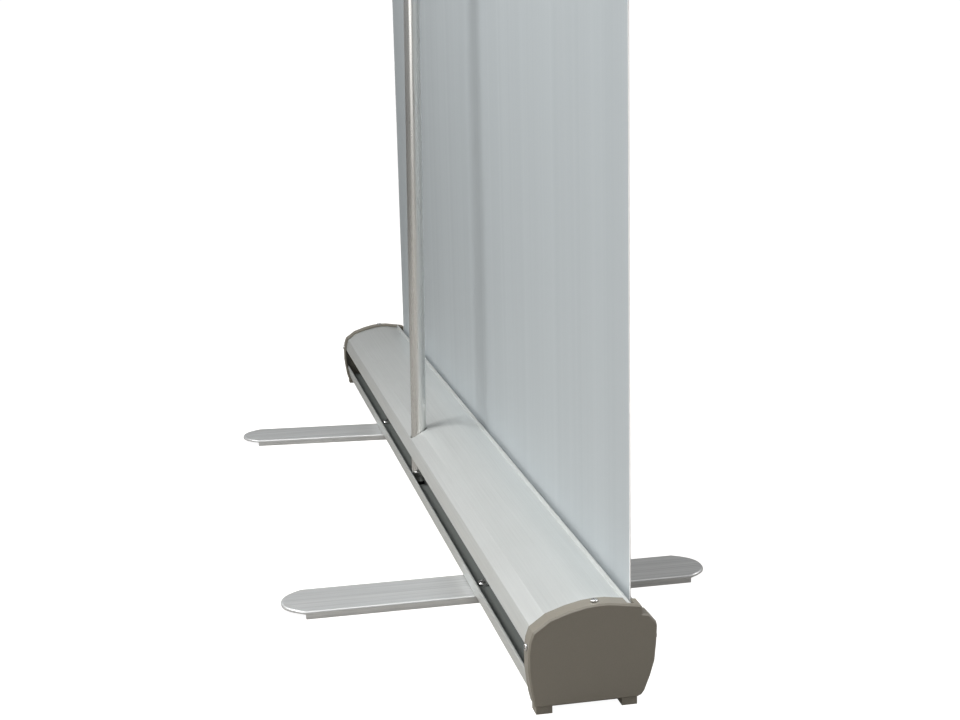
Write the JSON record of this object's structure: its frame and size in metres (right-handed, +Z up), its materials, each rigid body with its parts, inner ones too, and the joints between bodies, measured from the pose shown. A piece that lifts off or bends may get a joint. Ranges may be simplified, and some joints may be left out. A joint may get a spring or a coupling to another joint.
{
  "type": "roll-up banner stand",
  "caption": "Roll-up banner stand: aluminium cassette with sprung roller, banner film in a clamp rail, sectional rear pole with shock cord, and two swing-out feet.",
  "frame": {"origin": "floor level, at the middle of the cassette's length and of the feet's length", "axes": "+X along the cassette to the viewer's right seen from the front, -Y the side the graphic faces, +Z up"},
  "size_m": [0.886, 0.2985, 2.0788],
  "materials": {
    "base_profile": "satin anodised",
    "top_cover": "satin anodised",
    "end_cap_left": "moulded, fine grain",
    "cap_screw_left_top": "bright plated",
    "cap_screw_left_rear": "bright plated",
    "cap_screw_left_front": "bright plated",
    "end_cap_right": "moulded, fine grain",
    "cap_screw_right_top": "bright plated",
    "cap_screw_right_rear": "bright plated",
    "cap_screw_right_front": "bright plated",
    "roller_tube": "satin anodised",
    "wound_film": "smooth grey-backed film",
    "drive_plug": "moulded",
    "idler_plug": "moulded",
    "shaft_block": "moulded",
    "spring_shaft": "plain",
    "torsion_spring": "plain",
    "spring_anchor": "moulded",
    "idler_pin": "plain",
    "idler_washer": "moulded",
    "foot_left": "brushed",
    "foot_washer_left": "moulded",
    "foot_bolt_left": "bright plated",
    "foot_nut_left": "plain",
    "foot_right": "brushed",
    "foot_washer_right": "moulded",
    "foot_bolt_right": "bright plated",
    "foot_nut_right": "plain",
    "pole_lower": "satin anodised",
    "pole_middle": "satin anodised",
    "pole_upper": "satin anodised",
    "pole_ferrule_lower": "satin anodised",
    "pole_ferrule_upper": "satin anodised",
    "pole_seat_pad": "matte",
    "pole_foot_plug": "moulded",
    "pole_head": "moulded",
    "pole_head_hook": "moulded",
    "cord_stop_lower": "bright plated",
    "cord_stop_upper": "bright plated",
    "shock_cord": "braided cover",
    "rail_back": "satin anodised",
    "rail_front": "satin anodised",
    "rail_cap_left": "moulded",
    "rail_cap_right": "moulded",
    "banner_film": "smooth grey-backed film"
  },
  "bodies": {
    "cassette": {"base_profile": "base_profile", "top_cover": "top_cover", "end_cap_left": "end_cap_left", "end_cap_right": "end_cap_right", "cap_screw_left_top": "cap_screw_left_top", "cap_screw_left_rear": "cap_screw_left_rear", "cap_screw_left_front": "cap_screw_left_front", "cap_screw_right_top": "cap_screw_right_top", "cap_screw_right_rear": "cap_screw_right_rear", "cap_screw_right_front": "cap_screw_right_front", "shaft_block": "shaft_block", "spring_shaft": "spring_shaft", "spring_anchor": "spring_anchor", "idler_pin": "idler_pin", "idler_washer": "idler_washer", "pole_seat_pad": "pole_seat_pad", "foot_washer_left": "foot_washer_left", "foot_bolt_left": "foot_bolt_left", "foot_nut_left": "foot_nut_left", "foot_washer_right": "foot_washer_right", "foot_bolt_right": "foot_bolt_right", "foot_nut_right": "foot_nut_right", "banner_film": "banner_film"},
    "foot_left": {"foot_left": "foot_left"},
    "foot_right": {"foot_right": "foot_right"},
    "roller": {"roller_tube": "roller_tube", "wound_film": "wound_film", "drive_plug": "drive_plug", "idler_plug": "idler_plug", "torsion_spring": "torsion_spring"},
    "top_rail": {"rail_back": "rail_back", "rail_cap_left": "rail_cap_left", "rail_cap_right": "rail_cap_right"},
    "rail_jaw": {"rail_front": "rail_front"},
    "pole_base": {"pole_lower": "pole_lower", "pole_foot_plug": "pole_foot_plug", "pole_ferrule_lower": "pole_ferrule_lower", "shock_cord": "shock_cord", "cord_stop_lower": "cord_stop_lower"},
    "pole_mid": {"pole_middle": "pole_middle", "pole_ferrule_upper": "pole_ferrule_upper"},
    "pole_top": {"pole_upper": "pole_upper", "pole_head": "pole_head", "pole_head_hook": "pole_head_hook", "cord_stop_upper": "cord_stop_upper"}
  },
  "joints": [
    {"name": "foot_left_swing", "type": "hinge", "parent": "cassette", "child": "foot_left", "pos_m": [-0.2505, 0.0114, 0.004], "axis": [0, 0, 1], "range_deg": [-90, 0]},
    {"name": "foot_right_swing", "type": "hinge", "parent": "cassette", "child": "foot_right", "pos_m": [0.2115, 0.0114, 0.004], "axis": [0, 0, 1], "range_deg": [0, 95.3]},
    {"name": "banner_travel", "type": "slide", "parent": "cassette", "child": "top_rail", "axis": [0, 0, 1], "range_m": [-1.983, 0], "deforming": ["banner_film", "pole_head_hook"]},
    {"name": "roller_spin", "type": "hinge", "parent": "cassette", "child": "roller", "pos_m": [0, -0.0225, 0.0345], "axis": [1, 0, 0], "range_deg": [0, 6420]},
    {"name": "rail_jaw_hinge", "type": "hinge", "parent": "top_rail", "child": "rail_jaw", "pos_m": [0, -0.0395, 2.077], "axis": [1, 0, 0], "range_deg": [-50, 0]},
    {"name": "pole_lift", "type": "slide", "parent": "cassette", "child": "pole_base", "axis": [0, -0.0152, 0.9999], "range_m": [0, 0.075]},
    {"name": "pole_middle_pull", "type": "slide", "parent": "pole_base", "child": "pole_mid", "axis": [0, -0.0152, 0.9999], "range_m": [0, 0.052], "deforming": ["shock_cord"]},
    {"name": "pole_upper_pull", "type": "slide", "parent": "pole_mid", "child": "pole_top", "axis": [0, -0.0152, 0.9999], "range_m": [0, 0.052]}
  ],
  "couplings": [
    {"joint": "roller_spin", "follows": "banner_travel", "rad_per_m": -56.18}
  ]
}
